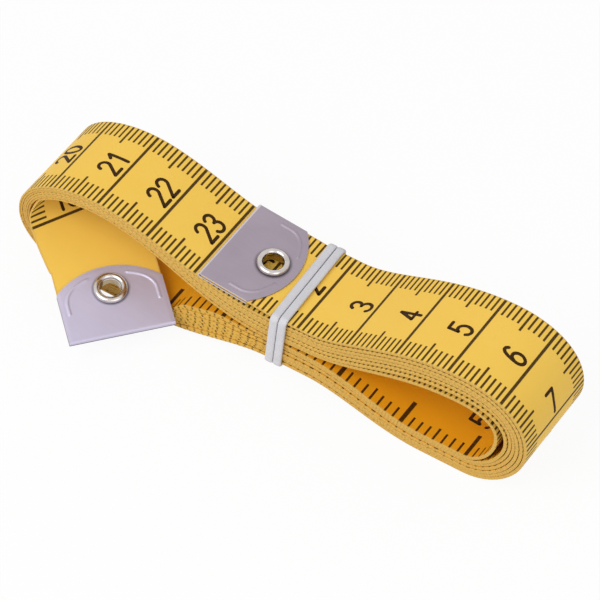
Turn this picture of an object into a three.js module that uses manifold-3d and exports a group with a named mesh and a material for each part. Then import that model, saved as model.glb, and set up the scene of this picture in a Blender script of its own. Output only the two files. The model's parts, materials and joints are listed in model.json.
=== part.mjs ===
// A cloth tape measure, wound flat and held at the waist by a rubber band.
// Millimetres, +Z up, the table at z = 0, +X along the coil and -Y towards the viewer.
import * as THREE from 'three';
import { mergeVertices } from 'three/addons/utils/BufferGeometryUtils.js';
import Module from 'manifold-3d';

const wasm = await Module();
wasm.setup();

// Tape
const tapeWidth = 18;
const tapeThickness = 0.3;
const turnGap = 0.42;
const turnCount = 6;

// Side view of the outer turn: a waist between two swollen loops
const waistUnder = 4.4;
const coreGap = 1.44;
const waistLeft = -4.2;
const waistRight = 3.4;
const rightCrown = 33;
const rightCrownHeight = 23.5;
const rightReach = 45.9;
const rightReachHeight = 12.5;
const rightRestNear = 26;
const rightRestFar = 34;
const leftCrown = -38.5;
const leftCrownHeight = 22;
const leftReach = -55;
const leftReachHeight = 10;
const leftRestNear = -27;
const leftRestFar = -42;
const crownSlack = 0.3;
const endRoom = 0.5;

// Tape ends: each has a folded metal clip and an eyelet
const endLength = 14;
const coilStart = -3.35;
const bendGap = 0.3;
const clipOverhang = 0.1;
const clipSide = 9.7;
const clipArch = 13.4;
const clipSheet = 0.25;
const clipSeat = 0.12;
const ribInset = 1.4;
const ribWidth = 0.5;
const ribHeight = 0.15;
const eyeletFromFold = 8.9;
const eyeletHole = 3.3;
const eyeletRim = 5.3;
const eyeletWall = 0.25;
const eyeletRise = 0.6;
const eyeletClinch = 0.2;
const eyeletSeat = 0.08;
const restGap = 0.3;

// Inner end: it leaves the left loop low and skewed towards the viewer
const tailApex = new THREE.Vector3(-48.1, -1.4, 11);
const tailHinge = new THREE.Vector3(-37.18, -8.895, 6.792);
const tailYaw = THREE.MathUtils.degToRad(-41.6);
const tailDrop = THREE.MathUtils.degToRad(11.2);
const tailApexYaw = THREE.MathUtils.degToRad(-15.8);
const tailFirstReach = 6;
const tailFirstDrop = 0.5;
const tailApexReach = 3.2;
const tailLastReach = 6;

// Rubber band: one strand, twice round the waist
const strandWidth = 1.6;
const strandThickness = 0.9;
const strandGap = 0.45;
const bandGap = 0.3;
const bandCorner = 0.55;
const bandMiddle = -1.9;
const bandLean = THREE.MathUtils.degToRad(6);
const crossingShare = 0.5;

// Facets
const curveSteps = 8;
const lineSteps = 2;
const tailSteps = 10;
const roundSides = 32;
const cornerSteps = 3;
const crossingSteps = 8;

const pitch = tapeThickness + turnGap;
const waistHeight = (2 * turnCount + 2) * pitch - turnGap + coreGap;
const waistTop = waistUnder + waistHeight;
const clipWidth = tapeWidth + 2 * clipOverhang;
const leafLevel = tapeThickness / 2 + clipSeat;
const clipHalf = leafLevel + clipSheet;
const tubeRadius = eyeletHole / 2 + eyeletWall;
const smooth = THREE.MathUtils.smoothstep;

const paint = {
  tape: { color: 0xf0c04a, roughness: 0.55, metalness: 0 },
  clip: { color: 0xb3a9b8, roughness: 0.38, metalness: 0.9 },
  eyelet: { color: 0xd9d3c9, roughness: 0.22, metalness: 1 },
  band: { color: 0xe4e6e8, roughness: 0.6, metalness: 0 },
};

function part(name, geometry, finish) {
  const mesh = new THREE.Mesh(geometry, new THREE.MeshStandardMaterial(paint[finish]));
  mesh.name = name;
  return mesh;
}

// Booleans on closed meshes
function solid(geometry) {
  const bare = geometry.clone();
  for (const attribute of ['normal', 'uv']) bare.deleteAttribute(attribute);
  const merged = mergeVertices(bare, 1e-5);
  const vertProperties = new Float32Array(merged.attributes.position.array);
  const triVerts = new Uint32Array(merged.index.array);
  return new wasm.Manifold(new wasm.Mesh({ numProp: 3, vertProperties, triVerts }));
}

function union(geometries) {
  const joined = geometries.map(solid).reduce((sum, next) => sum.add(next)).getMesh();
  const geometry = new THREE.BufferGeometry();
  geometry.setAttribute('position', new THREE.BufferAttribute(joined.vertProperties, 3));
  geometry.setIndex(new THREE.BufferAttribute(joined.triVerts, 1));
  return geometry;
}

// Outline of the outer turn in the XZ plane, clockwise from the waist's left end.
// Handles are shares of each stretch's run, so crowns, ends and rests keep their tangents.
function outlineCurves() {
  const at = (x, z) => new THREE.Vector2(x, z);
  const line = (from, to) => new THREE.LineCurve(from, to);
  const rise = (from, to, leave, arrive) => {
    const run = to.x - from.x;
    const leaving = at(from.x + leave * run, from.y);
    return new THREE.CubicBezierCurve(from, leaving, at(to.x - arrive * run, to.y), to);
  };
  const roundDown = (from, to, along, across) => {
    const leaving = at(from.x + along * (to.x - from.x), from.y);
    return new THREE.CubicBezierCurve(from, leaving, at(to.x, to.y - across * (to.y - from.y)), to);
  };
  const roundIn = (from, to, across, along) => {
    const leaving = at(from.x, from.y + across * (to.y - from.y));
    return new THREE.CubicBezierCurve(from, leaving, at(to.x - along * (to.x - from.x), to.y), to);
  };
  const topLeft = at(waistLeft, waistTop);
  const topRight = at(waistRight, waistTop);
  const crownRight = at(rightCrown, rightCrownHeight);
  const endRight = at(rightReach, rightReachHeight);
  const restRight = [at(rightRestFar, 0), at(rightRestNear, 0)];
  const underRight = at(waistRight, waistUnder);
  const underLeft = at(waistLeft, waistUnder);
  const restLeft = [at(leftRestNear, 0), at(leftRestFar, 0)];
  const endLeft = at(leftReach, leftReachHeight);
  const crownLeft = at(leftCrown, leftCrownHeight);
  return [
    line(topLeft, topRight),
    rise(topRight, crownRight, 0.25, 0.45),
    roundDown(crownRight, endRight, 0.56, 0.63),
    roundIn(endRight, restRight[0], 0.45, 0.55),
    line(restRight[0], restRight[1]),
    rise(restRight[1], underRight, 0.4, 0.33),
    line(underRight, underLeft),
    rise(underLeft, restLeft[0], 0.28, 0.36),
    line(restLeft[0], restLeft[1]),
    roundDown(restLeft[1], endLeft, 0.56, 0.5),
    roundIn(endLeft, crownLeft, 0.63, 0.53),
    rise(crownLeft, topLeft, 0.32, 0.4),
  ];
}

const outline = outlineCurves();
const [waistRun, riseRight, bendRight, , , lastRight] = outline.keys();
const dipCurve = outline.length - 1;
const foldX = coilStart - bendGap - endLength;
const startShare = (coilStart - waistLeft) / (waistRight - waistLeft);

// Each turn slips under the one before it between the left crown and the outer clip.
function dip(x) {
  return smooth(x, leftCrown, foldX);
}

// Under the outer clip the stack lies lower by the clip's and the eyelet's depth.
function room(turn, curve, share, x) {
  if (curve === dipCurve) return endRoom * dip(x);
  if (curve === waistRun && turn > 0) return endRoom * (1 - smooth(share, 0, 1));
  return 0;
}

// The stack lies looser over the right crown.
function slack(curve, share) {
  if (curve === riseRight) return crownSlack * smooth(share, 0, 1);
  if (curve === bendRight) return crownSlack * (1 - smooth(share, 0, 1));
  return 0;
}

function onTurn(turn, curve, share) {
  const point = outline[curve].getPoint(share);
  const tangent = outline[curve].getTangent(share);
  const level = turn + (curve === dipCurve ? dip(point.x) : 0);
  const layers = level * (pitch + slack(curve, share));
  const depth = layers + room(turn, curve, share, point.x) + tapeThickness / 2;
  return new THREE.Vector3(point.x + tangent.y * depth, 0, point.y - tangent.x * depth);
}

function stepsOf(curve) {
  return outline[curve] instanceof THREE.LineCurve ? lineSteps : curveSteps;
}

// Level direction across the tape, lengthened where it crosses the tape's run aslant.
function acrossTape(run, yaw) {
  const level = new THREE.Vector3(-Math.sin(yaw), Math.cos(yaw), 0);
  return level.divideScalar(Math.sqrt(1 - level.dot(run) ** 2));
}

const tailRun = new THREE.Vector3(
  Math.cos(tailYaw) * Math.cos(tailDrop),
  Math.sin(tailYaw) * Math.cos(tailDrop),
  -Math.sin(tailDrop),
);

// The whole wound tape as stations: a middle point and a direction across.
function windTape() {
  const stations = [];
  const straight = new THREE.Vector3(0, 1, 0);
  const lay = (middle) => stations.push({ middle, across: straight });
  for (let turn = 0; turn <= turnCount; turn += 1) {
    const curves = turn < turnCount ? outline.length : lastRight + 1;
    for (let curve = 0; curve < curves; curve += 1) {
      const steps = stepsOf(curve);
      const from = turn === 0 && curve === waistRun ? startShare : 0;
      for (let step = 0; step < steps; step += 1) {
        lay(onTurn(turn, curve, THREE.MathUtils.lerp(from, 1, step / steps)));
      }
    }
  }
  // Through the middle of the waist, from the lower stack to the upper one
  const enter = onTurn(turnCount, lastRight, 1);
  const leave = onTurn(turnCount, dipCurve, 1);
  const half = (enter.x - leave.x) / 2;
  const passage = new THREE.CubicBezierCurve3(
    enter,
    enter.clone().setX(enter.x - half),
    leave.clone().setX(leave.x + half),
    leave,
  );
  passage.getPoints(lineSteps + 1).forEach(lay);
  // Under the upper stack to the left crown
  for (let step = curveSteps - 1; step >= 0; step -= 1) {
    lay(onTurn(turnCount, dipCurve, step / curveSteps));
  }
  // Round inside the left loop and out towards the viewer
  const crown = stations[stations.length - 1].middle;
  const apexRun = new THREE.Vector3(0, Math.sin(tailApexYaw), -Math.cos(tailApexYaw));
  const bends = [
    new THREE.CubicBezierCurve3(
      crown,
      crown.clone().add(new THREE.Vector3(-tailFirstReach, 0, -tailFirstDrop)),
      tailApex.clone().addScaledVector(apexRun, -tailApexReach),
      tailApex,
    ),
    new THREE.CubicBezierCurve3(
      tailApex,
      tailApex.clone().addScaledVector(apexRun, tailApexReach),
      tailHinge.clone().addScaledVector(tailRun, -tailLastReach),
      tailHinge.clone().addScaledVector(tailRun, -bendGap),
    ),
  ];
  const yaws = [0, tailApexYaw, tailYaw];
  bends.forEach((bend, index) => {
    for (let step = 1; step <= tailSteps; step += 1) {
      const share = step / tailSteps;
      const yaw = THREE.MathUtils.lerp(yaws[index], yaws[index + 1], smooth(share, 0, 1));
      stations.push({ middle: bend.getPoint(share), across: acrossTape(bend.getTangent(share), yaw) });
    }
  });
  return stations;
}

function runAt(stations, index) {
  const before = stations[Math.max(index - 1, 0)].middle;
  const after = stations[Math.min(index + 1, stations.length - 1)].middle;
  return after.clone().sub(before).normalize();
}

// A closed strip of one thickness laid along stations
function ribbon(stations) {
  const positions = [];
  const indices = [];
  stations.forEach(({ middle, across }, index) => {
    const normal = runAt(stations, index).cross(across).normalize();
    for (const [side, face] of [[-1, 1], [1, 1], [1, -1], [-1, -1]]) {
      const corner = middle.clone().addScaledVector(across, side * tapeWidth / 2);
      positions.push(...corner.addScaledVector(normal, face * tapeThickness / 2).toArray());
    }
  });
  const quad = (a, b, c, d) => indices.push(a, b, c, a, c, d);
  for (let index = 0; index + 1 < stations.length; index += 1) {
    const here = 4 * index;
    const next = here + 4;
    for (let side = 0; side < 4; side += 1) {
      const other = (side + 1) % 4;
      quad(here + side, next + side, next + other, here + other);
    }
  }
  const last = 4 * (stations.length - 1);
  quad(0, 1, 2, 3);
  quad(last + 3, last + 2, last + 1, last);
  const geometry = new THREE.BufferGeometry();
  geometry.setAttribute('position', new THREE.Float32BufferAttribute(positions, 3));
  geometry.setIndex(indices);
  return geometry;
}

// Least gap between stretches of a route that lie further apart along it than "apart"
function leastGap(points, apart, closed, gapBetween) {
  const lengths = [0];
  const count = points.length;
  for (let index = 1; index < count; index += 1) {
    lengths.push(lengths[index - 1] + points[index].distanceTo(points[index - 1]));
  }
  const whole = lengths[count - 1];
  const nearest = new THREE.Vector3();
  const stretch = new THREE.Line3();
  let least = Infinity;
  const near = (index, other) => {
    const along = Math.abs(lengths[index] - lengths[other]);
    return Math.min(along, closed ? whole - along : along) < apart;
  };
  for (let index = 0; index < count; index += 1) {
    for (let other = 0; other + 1 < count; other += 1) {
      if (near(index, other) || near(index, other + 1)) continue;
      stretch.set(points[other], points[other + 1]).closestPointToPoint(points[index], true, nearest);
      least = Math.min(least, gapBetween(nearest, points[index]));
    }
  }
  return { least, whole };
}

function woundTape() {
  const stations = windTape();
  const edges = [-1, 0, 1].map((side) => stations.map(({ middle, across }) => (
    middle.clone().addScaledVector(across, side * tapeWidth / 2)
  )));
  const gapBetween = (here, there) => here.distanceTo(there) - tapeThickness;
  const measured = edges.map((edge) => leastGap(edge, tapeWidth, false, gapBetween));
  const gap = Math.min(...measured.map(({ least }) => least));
  console.log(`tape: least gap between turns ${gap.toFixed(2)} mm`);
  console.log(`tape: length with both ends ${(measured[1].whole + 2 * endLength).toFixed(0)} mm`);
  return part('tape_coil', ribbon(stations), 'tape');
}

// Flat end of the tape, from the clip's fold to the bend, with the eyelet's hole
function tapeEnd(name) {
  const outer = new THREE.Shape();
  const start = clipHalf;
  outer.moveTo(start, -tapeWidth / 2);
  outer.lineTo(endLength, -tapeWidth / 2);
  outer.lineTo(endLength, tapeWidth / 2);
  outer.lineTo(start, tapeWidth / 2);
  outer.closePath();
  outer.holes.push(roundHole(tubeRadius + eyeletSeat));
  const geometry = plate(outer, tapeThickness);
  geometry.translate(0, 0, -tapeThickness / 2);
  return part(name, geometry, 'tape');
}

function roundHole(radius) {
  return new THREE.Path().absarc(eyeletFromFold, 0, radius, 0, 2 * Math.PI, true);
}

function plate(shape, depth) {
  return new THREE.ExtrudeGeometry(shape, { depth, bevelEnabled: false, curveSegments: roundSides });
}

// Clip: a sheet folded round the tape's end, with arched leaves and a raised rib along the arch
const archRise = clipArch - clipSide;
const archRadius = ((clipWidth / 2) ** 2 + archRise ** 2) / (2 * archRise);
const archCentre = clipArch - archRadius;
const archAngle = Math.asin(clipWidth / 2 / archRadius);

function clipLeaf() {
  const leaf = new THREE.Shape();
  leaf.moveTo(clipHalf, -clipWidth / 2);
  leaf.lineTo(clipSide, -clipWidth / 2);
  leaf.absarc(archCentre, 0, archRadius, -archAngle, archAngle, false);
  leaf.lineTo(clipHalf, clipWidth / 2);
  leaf.closePath();
  leaf.holes.push(roundHole(tubeRadius + eyeletSeat));
  return plate(leaf, clipSheet);
}

function clipFold() {
  const ring = new THREE.Shape();
  ring.absarc(0, 0, clipHalf, Math.PI / 2, 3 * Math.PI / 2, false);
  ring.absarc(0, 0, leafLevel, 3 * Math.PI / 2, Math.PI / 2, true);
  ring.closePath();
  const fold = new THREE.ExtrudeGeometry(ring, {
    depth: clipWidth, bevelEnabled: false, curveSegments: roundSides / 4,
  });
  fold.rotateX(Math.PI / 2);
  fold.translate(clipHalf, clipWidth / 2, 0);
  return fold;
}

function clipRib(side) {
  const inner = archRadius - ribInset - ribWidth;
  const clear = Math.asin((eyeletRim / 2 + ribWidth) / inner);
  const far = Math.asin((clipWidth / 2 - ribInset) / (inner + ribWidth));
  const rib = new THREE.Shape();
  rib.absarc(archCentre, 0, inner + ribWidth, clear, far, false);
  rib.absarc(archCentre, 0, inner, far, clear, true);
  rib.closePath();
  const raised = plate(rib, ribHeight + clipSheet / 2);
  raised.translate(0, 0, leafLevel + clipSheet / 2);
  if (side < 0) raised.rotateX(Math.PI).translate(0, 0, 2 * leafLevel + 1.5 * clipSheet + ribHeight);
  return raised;
}

function endClip(name) {
  const upper = clipLeaf().translate(0, 0, leafLevel);
  const lower = clipLeaf().translate(0, 0, -clipHalf);
  return part(name, union([upper, lower, clipFold(), clipRib(1), clipRib(-1)]), 'clip');
}

// Eyelet: a tube with a rolled rim above and a flat clinched one below
function eyelet(name) {
  const hole = eyeletHole / 2;
  const seat = clipHalf + eyeletSeat;
  const rim = eyeletRim / 2;
  const rimMiddle = (hole + rim) / 2;
  const rimHalf = (rim - hole) / 2;
  const profile = [new THREE.Vector2(hole, -seat - eyeletClinch)];
  const rollSteps = roundSides / 4;
  for (let step = 0; step <= rollSteps; step += 1) {
    const angle = Math.PI * (1 - step / rollSteps);
    const radius = rimMiddle + rimHalf * Math.cos(angle);
    profile.push(new THREE.Vector2(radius, seat + eyeletRise * Math.sin(angle)));
  }
  profile.push(new THREE.Vector2(tubeRadius, seat));
  profile.push(new THREE.Vector2(tubeRadius, -seat));
  profile.push(new THREE.Vector2(rim - eyeletWall, -seat));
  profile.push(new THREE.Vector2(rim - eyeletWall, -seat - eyeletClinch));
  profile.push(profile[0].clone());
  const geometry = new THREE.LatheGeometry(profile.reverse(), roundSides);
  geometry.rotateX(Math.PI / 2);
  geometry.translate(eyeletFromFold, 0, 0);
  return part(name, geometry, 'eyelet');
}

// One finished tape end, its fold at the group's origin and the tape leaving along +X
function finishedEnd(side, run, across, bend) {
  const end = new THREE.Group();
  end.add(tapeEnd(`tape_${side}_end`), endClip(`${side}_clip`), eyelet(`${side}_eyelet`));
  end.setRotationFromMatrix(new THREE.Matrix4().makeBasis(run, across, run.clone().cross(across)));
  end.position.copy(bend).addScaledVector(run, -endLength);
  return end;
}

// The outer end lies on the turn below it, tilted just enough for its clip and eyelet to clear.
function outerEnd() {
  const bend = new THREE.Vector3(coilStart - bendGap, 0, waistTop - tapeThickness / 2);
  const below = [];
  for (let step = 0; step <= roundSides; step += 1) {
    const middle = onTurn(0, dipCurve, step / roundSides);
    below.push(new THREE.Vector2(middle.x, middle.z + tapeThickness / 2));
  }
  const heightAt = (x) => below.reduce((a, b) => (Math.abs(a.x - x) < Math.abs(b.x - x) ? a : b)).y;
  const tiltFor = (fromFold, depth) => {
    const reach = endLength - fromFold;
    return Math.asin((heightAt(bend.x - reach) + restGap + depth - bend.z) / reach);
  };
  const eyeletDepth = clipHalf + eyeletSeat + eyeletClinch;
  const tilt = Math.max(
    tiltFor(0, clipHalf),
    tiltFor(eyeletFromFold - eyeletRim / 2, eyeletDepth),
    tiltFor(eyeletFromFold + eyeletRim / 2, eyeletDepth),
  );
  const run = new THREE.Vector3(Math.cos(tilt), 0, -Math.sin(tilt));
  return finishedEnd('outer', run, new THREE.Vector3(0, 1, 0), bend);
}

// The inner end carries on from the tail; its run is reversed because the fold is the far end.
function innerEnd() {
  const run = tailRun.clone().negate();
  return finishedEnd('inner', run, acrossTape(run, tailYaw).negate(), tailHinge);
}

// Rubber band: a rounded loop round the waist, walked twice; the laps cross under the waist.
function bandRoute() {
  const halfY = tapeWidth / 2 + bandGap + strandThickness / 2;
  const halfZ = waistHeight / 2 + bandGap + strandThickness / 2;
  const corner = bandCorner + strandThickness / 2;
  const loop = [];
  const put = (y, z, outY, outZ) => {
    loop.push({ point: new THREE.Vector2(y, z), out: new THREE.Vector2(outY, outZ) });
  };
  const reachY = halfY - corner;
  for (let step = 0; step < crossingSteps; step += 1) put(-reachY * step / crossingSteps, -halfZ, 0, -1);
  for (const [signY, signZ, start] of [[-1, -1, 270], [-1, 1, 180], [1, 1, 90], [1, -1, 0]]) {
    for (let step = 0; step <= cornerSteps; step += 1) {
      const angle = THREE.MathUtils.degToRad(start - 90 * step / cornerSteps);
      const outY = Math.cos(angle);
      const outZ = Math.sin(angle);
      const centreZ = signZ * (halfZ - corner);
      put(signY * reachY + corner * outY, centreZ + corner * outZ, outY, outZ);
    }
  }
  for (let step = 1; step < crossingSteps; step += 1) {
    put(reachY * (1 - step / crossingSteps), -halfZ, 0, -1);
  }
  const track = (strandWidth + strandGap) / 2;
  const lift = strandThickness + strandGap;
  const route = [];
  for (const lap of [1, -1]) {
    loop.forEach(({ point, out }, index) => {
      const share = out.y === -1 ? Math.abs(point.x) / reachY : 1;
      const leaving = index < loop.length / 2;
      const lifted = (lap === 1) !== leaving;
      const rise = lifted ? lift * (1 - smooth(share, crossingShare, 1)) : 0;
      const x = lap * track * smooth(share, 0, crossingShare);
      route.push({
        middle: new THREE.Vector3(x, point.x + out.x * rise, point.y + out.y * rise),
        out: new THREE.Vector3(0, out.x, out.y),
      });
    });
  }
  return route;
}

// A closed strand with an eight-sided section, swept along the route
function strand(route) {
  const bevel = strandThickness / 4;
  const halfWidth = strandWidth / 2;
  const halfThick = strandThickness / 2;
  const section = [
    [halfWidth, bevel - halfThick], [halfWidth, halfThick - bevel], [halfWidth - bevel, halfThick],
    [bevel - halfWidth, halfThick], [-halfWidth, halfThick - bevel], [-halfWidth, bevel - halfThick],
    [bevel - halfWidth, -halfThick], [halfWidth - bevel, -halfThick],
  ];
  const positions = [];
  const indices = [];
  const count = route.length;
  const sides = section.length;
  route.forEach(({ middle, out }, index) => {
    const run = route[(index + 1) % count].middle.clone().sub(route[(index + count - 1) % count].middle);
    const across = out.clone().cross(run).normalize();
    for (const [along, outward] of section) {
      const corner = middle.clone().addScaledVector(across, along).addScaledVector(out, outward);
      positions.push(...corner.toArray());
    }
    const here = sides * index;
    const next = sides * ((index + 1) % count);
    for (let side = 0; side < sides; side += 1) {
      const other = (side + 1) % sides;
      indices.push(here + side, here + other, next + other, here + side, next + other, next + side);
    }
  });
  const geometry = new THREE.BufferGeometry();
  geometry.setAttribute('position', new THREE.Float32BufferAttribute(positions, 3));
  geometry.setIndex(indices);
  return geometry;
}

function rubberBand() {
  const route = bandRoute();
  const points = route.map(({ middle }) => middle);
  points.push(points[0]);
  const gapBetween = (here, there) => Math.max(
    Math.abs(here.x - there.x) - strandWidth,
    Math.hypot(here.y - there.y, here.z - there.z) - strandThickness,
  );
  const { least } = leastGap(points, waistHeight, true, gapBetween);
  console.log(`band: least gap between laps ${least.toFixed(2)} mm`);
  const band = part('rubber_band', strand(route), 'band');
  band.rotation.y = bandLean;
  band.position.set(bandMiddle, 0, waistUnder + waistHeight / 2);
  return band;
}

const tapeMeasure = new THREE.Group();
tapeMeasure.add(woundTape(), outerEnd(), innerEnd(), rubberBand());

// The origin is the middle of the whole box, on the table.
const box = new THREE.Box3().setFromObject(tapeMeasure, true);
const centre = box.getCenter(new THREE.Vector3());
tapeMeasure.position.set(-centre.x, -centre.y, -box.min.z);
console.log(`origin shift ${tapeMeasure.position.toArray().map((value) => value.toFixed(3)).join(' ')}`);

export default tapeMeasure;
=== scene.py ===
import bisect
import bmesh
import bpy
import json
import math
from mathutils import Matrix, Vector


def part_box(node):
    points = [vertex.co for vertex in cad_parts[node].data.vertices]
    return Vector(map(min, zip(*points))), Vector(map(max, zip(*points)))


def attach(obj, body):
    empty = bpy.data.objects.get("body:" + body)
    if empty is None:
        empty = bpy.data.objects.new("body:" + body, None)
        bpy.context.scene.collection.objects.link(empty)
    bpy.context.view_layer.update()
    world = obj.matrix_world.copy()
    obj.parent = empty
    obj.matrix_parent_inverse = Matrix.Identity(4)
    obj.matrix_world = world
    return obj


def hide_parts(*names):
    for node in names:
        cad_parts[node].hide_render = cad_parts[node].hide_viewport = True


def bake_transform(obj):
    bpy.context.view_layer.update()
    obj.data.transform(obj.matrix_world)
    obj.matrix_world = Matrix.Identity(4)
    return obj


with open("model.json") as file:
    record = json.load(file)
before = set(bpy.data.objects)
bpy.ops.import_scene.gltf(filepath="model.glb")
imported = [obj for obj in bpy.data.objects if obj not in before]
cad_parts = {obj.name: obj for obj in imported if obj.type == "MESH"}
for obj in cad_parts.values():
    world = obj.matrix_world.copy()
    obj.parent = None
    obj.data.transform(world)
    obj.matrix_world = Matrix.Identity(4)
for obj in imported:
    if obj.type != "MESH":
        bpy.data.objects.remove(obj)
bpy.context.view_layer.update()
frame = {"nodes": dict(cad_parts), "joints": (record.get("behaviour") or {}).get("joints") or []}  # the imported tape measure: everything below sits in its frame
mm = 0.001
joints = {joint["name"]: joint for joint in frame["joints"]}
print("frame loaded,", len(frame["nodes"]), "nodes")


def ease(value, low=0.0, high=1.0):
    share = min(1.0, max(0.0, (value - low) / (high - low)))
    return share * share * (3 - 2 * share)


def mixed(a, b, share):
    return a + (b - a) * share


# cubic curves, as four points
def curvePoint(curve, t):
    u = 1 - t
    return curve[0] * u**3 + curve[1] * (3 * u * u * t) + curve[2] * (3 * u * t * t) + curve[3] * t**3


def curveRun(curve, t):
    u = 1 - t
    first, second, third = (b - a for a, b in zip(curve, curve[1:]))
    return (first * (u * u) + second * (2 * u * t) + third * (t * t)).normalized()


# shader sums as plain expressions: a Wire is a socket, and sums of wires add Math nodes
class Wire:
    def __init__(self, finish, socket):
        self.finish = finish
        self.socket = socket

    def math(self, operation, other=None, swap=False, clamp=False):
        pair = [self] if other is None else [other, self] if swap else [self, other]
        settings = {"operation": operation, "use_clamp": clamp}
        return self.finish.make("ShaderNodeMath", settings, dict(enumerate(pair)))

    def __add__(self, other):
        return self.math("ADD", other)

    def __sub__(self, other):
        return self.math("SUBTRACT", other)

    def __rsub__(self, other):
        return self.math("SUBTRACT", other, swap=True)

    def __mul__(self, other):
        return self.math("MULTIPLY", other)

    def __truediv__(self, other):
        return self.math("DIVIDE", other)

    __radd__ = __add__
    __rmul__ = __mul__

    def smaller(self, other):
        return self.math("MINIMUM", other)

    def larger(self, other):
        return self.math("MAXIMUM", other)

    def size(self):
        return self.math("ABSOLUTE")

    def part(self):
        return self.math("FRACT")

    def clamped(self):
        return self.math("ADD", 0.0, clamp=True)


# one set of nodes: a new material's, or those of a block that is given
class Finish:
    def __init__(self, name, block=None):
        self.material = block or bpy.data.materials.new(name)
        self.material.use_nodes = True
        self.tree = self.material.node_tree
        self.tree.nodes.clear()

    def make(self, kind, settings=None, inputs=None, out=0):
        node = self.tree.nodes.new(kind)
        for key, value in (settings or {}).items():
            setattr(node, key, value)
        for key, value in (inputs or {}).items():
            if isinstance(value, Wire):
                self.tree.links.new(value.socket, node.inputs[key])
            else:
                node.inputs[key].default_value = value
        return Wire(self, node.outputs[out]) if node.outputs else node

    def colours(self, first, second, share):
        inputs = {0: share, 6: first, 7: second}
        return self.make("ShaderNodeMix", {"data_type": "RGBA"}, inputs, out=2)

    def noise(self, place, scale, detail=3.0):
        return self.make("ShaderNodeTexNoise", {}, {"Vector": place, "Scale": scale, "Detail": detail})

    def stretched(self, place, scale):
        return self.make("ShaderNodeMapping", {}, {"Vector": place, "Scale": scale})

    def surface(self, **sockets):
        inputs = {key.replace("_", " "): value for key, value in sockets.items()}
        shader = self.make("ShaderNodeBsdfPrincipled", {}, inputs)
        self.make("ShaderNodeOutputMaterial", {}, {"Surface": shader})
        return self.material


def rgb(red, green, blue):
    return (red, green, blue, 1.0)


# printed tape: the map "tapeScale" holds millimetres across and along the tape, on the cut
# edges the share of the thickness and millimetres along
tapePrint = {
    "width": 18.0, "last": 1500.0, "inchZero": 6.7,
    "millimetre": (1.0, 0.38, 3.3), "fives": (5.0, 0.42, 4.4), "centimetre": (10.0, 0.52, 20.0),
    "sixteenth": (1.5875, 0.40, 2.3), "quarter": (6.35, 0.42, 2.7), "half": (12.7, 0.78, 4.9),
    "yellow": rgb(0.905, 0.588, 0.104), "deepYellow": rgb(0.873, 0.536, 0.078),
    "rim": rgb(0.66, 0.42, 0.11), "ink": rgb(0.034, 0.013, 0.002),
    # the inch face's yellows are deepened towards orange as painted bounce light and shade from inside the
    # loops
    "inchYellowPaintedBounce": rgb(0.780, 0.348, 0.010), "inchDeepPaintedBounce": rgb(0.745, 0.312, 0.007),
    "edge": rgb(0.59, 0.342, 0.062), "paleEdge": rgb(0.705, 0.452, 0.113),
    "threadEvery": 0.62, "threadHalf": 0.12, "edgeDot": rgb(0.33, 0.17, 0.03),
    "looseMiddle": -11.0, "looseReach": 11.0, "looseTop": 9.2, "looseEdge": rgb(0.70, 0.405, 0.055),
    "inchEnds": (0.70, 1.0), "metricEnds": (0.15, 0.5), "lineEnd": rgb(0.15, 0.062, 0.006),
    "lineBlur": 0.08, "endBlur": 0.1, "lastClear": 0.4, "rimWide": 0.22, "inkFrom": 0.14,
    "metricShine": 0.15, "inchShine": 0.05, "paleInk": rgb(0.055, 0.024, 0.006),
}


def tapePlace(finish):
    place = finish.make("ShaderNodeUVMap", {"uv_map": "tapeScale"})
    across = finish.make("ShaderNodeSeparateXYZ", {}, {0: place}, out=0)
    along = finish.make("ShaderNodeSeparateXYZ", {}, {0: place}, out=1)
    return place, across, along


def soft(value, blur):
    return (value / blur + 0.5).clamped()


def ruled(along, fromEdge, rule):
    every, wide, reach = rule
    away = ((along / every + 0.5).part() - 0.5).size() * every
    return soft(wide / 2 - away, tapePrint["lineBlur"]) * soft(reach - fromEdge, tapePrint["endBlur"])


def tapeFace(name, rules, start, light, deep, shine):
    finish = Finish(name)
    place, across, along = tapePlace(finish)
    fromEdge = across.smaller(tapePrint["width"] - across)
    mark = along - start
    ink = ruled(mark, fromEdge, rules[0])
    for rule in rules[1:]:
        ink = ink.larger(ruled(mark, fromEdge, rule))
    ink = ink * soft(tapePrint["last"] + tapePrint["lastClear"] - along, tapePrint["endBlur"])
    blotch = finish.noise(place, 0.12)
    grain = finish.noise(place, 3.5, 4.0)
    inside = soft(fromEdge - tapePrint["inkFrom"], 0.2)
    ink = ink * (0.86 + grain * 0.2).clamped() * (0.3 + inside * 0.7)
    colour = finish.colours(light, deep, (blotch * 0.9 + grain * 0.35 - 0.2).clamped())
    colour = finish.colours(colour, tapePrint["rim"], soft(tapePrint["rimWide"] - fromEdge, 0.25) * 0.7)
    colour = finish.colours(colour, tapePrint["ink"], ink)
    weave = (across * 11.0).math("SINE") * (along * 11.0).math("SINE")
    height = weave * 0.5 + grain * 0.8 - ink * 0.25
    bump = finish.make("ShaderNodeBump", {}, {"Strength": 0.22, "Distance": 0.00003, "Height": height})
    rough = 0.46 + grain * 0.12 + ink * 0.06
    return finish.surface(
        Base_Color=colour, Roughness=rough, Normal=bump, Specular_IOR_Level=shine,
        Coat_Weight=0.02, Coat_Roughness=0.3)


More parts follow.
